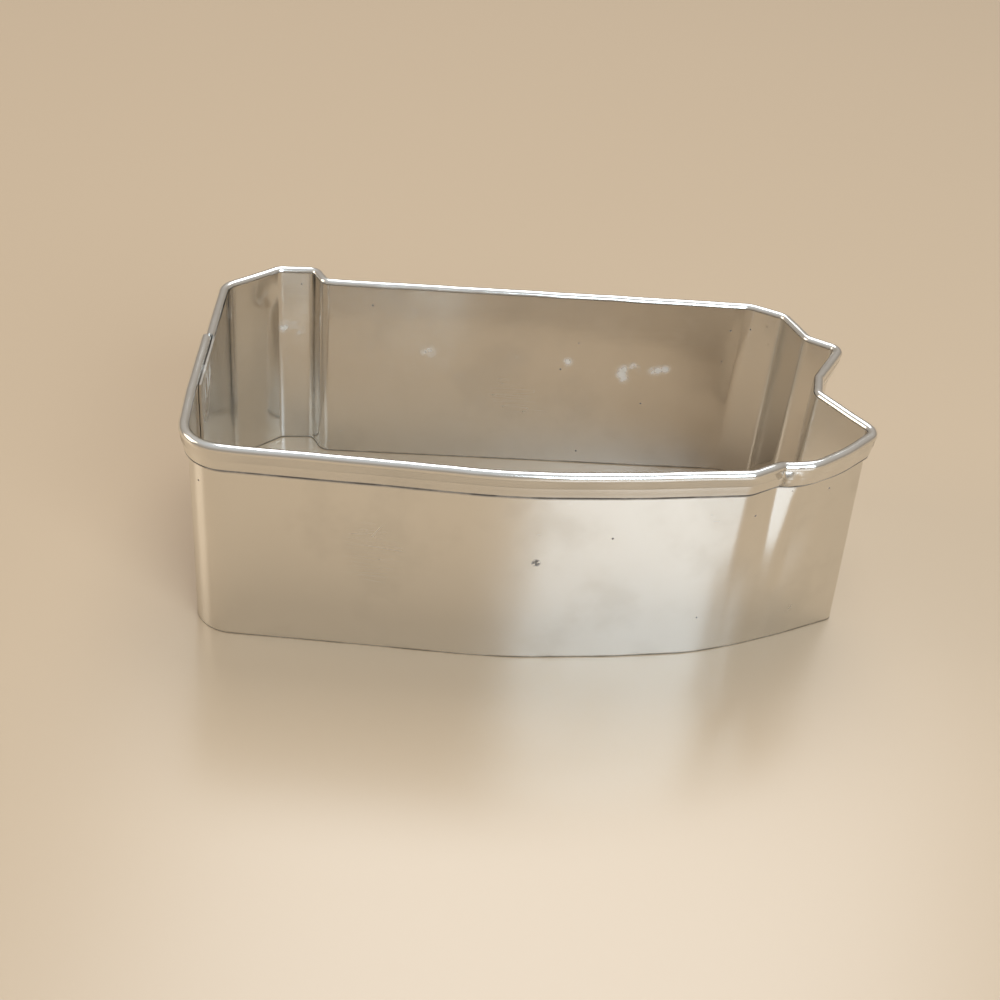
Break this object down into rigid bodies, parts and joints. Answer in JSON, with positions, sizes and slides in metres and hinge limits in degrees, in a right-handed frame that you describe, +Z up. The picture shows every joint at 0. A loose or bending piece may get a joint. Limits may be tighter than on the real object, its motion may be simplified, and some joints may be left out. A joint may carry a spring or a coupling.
{
  "type": "cookie cutter",
  "caption": "Open cookie cutter bent from a tinplate strip into a map outline, with a rolled hem on top and a spot-welded lap.",
  "frame": {"origin": "middle of the plan's box, on the plane that the cutting edge rests on", "axes": "+X along the outline's length towards the end with two points, +Y towards the long straight wall, +Z up towards the rolled hem"},
  "size_m": [0.0776, 0.0464, 0.0254],
  "materials": {
    "tinplate": "bright tin plate with fine rolling lines, smudges and light wear",
    "weld": "pressed weld nugget with a dull heat ring"
  },
  "bodies": {
    "root": {"wall_strip": "tinplate", "spot_weld_upper": "weld", "spot_weld_lower": "weld"}
  },
  "joints": []
}
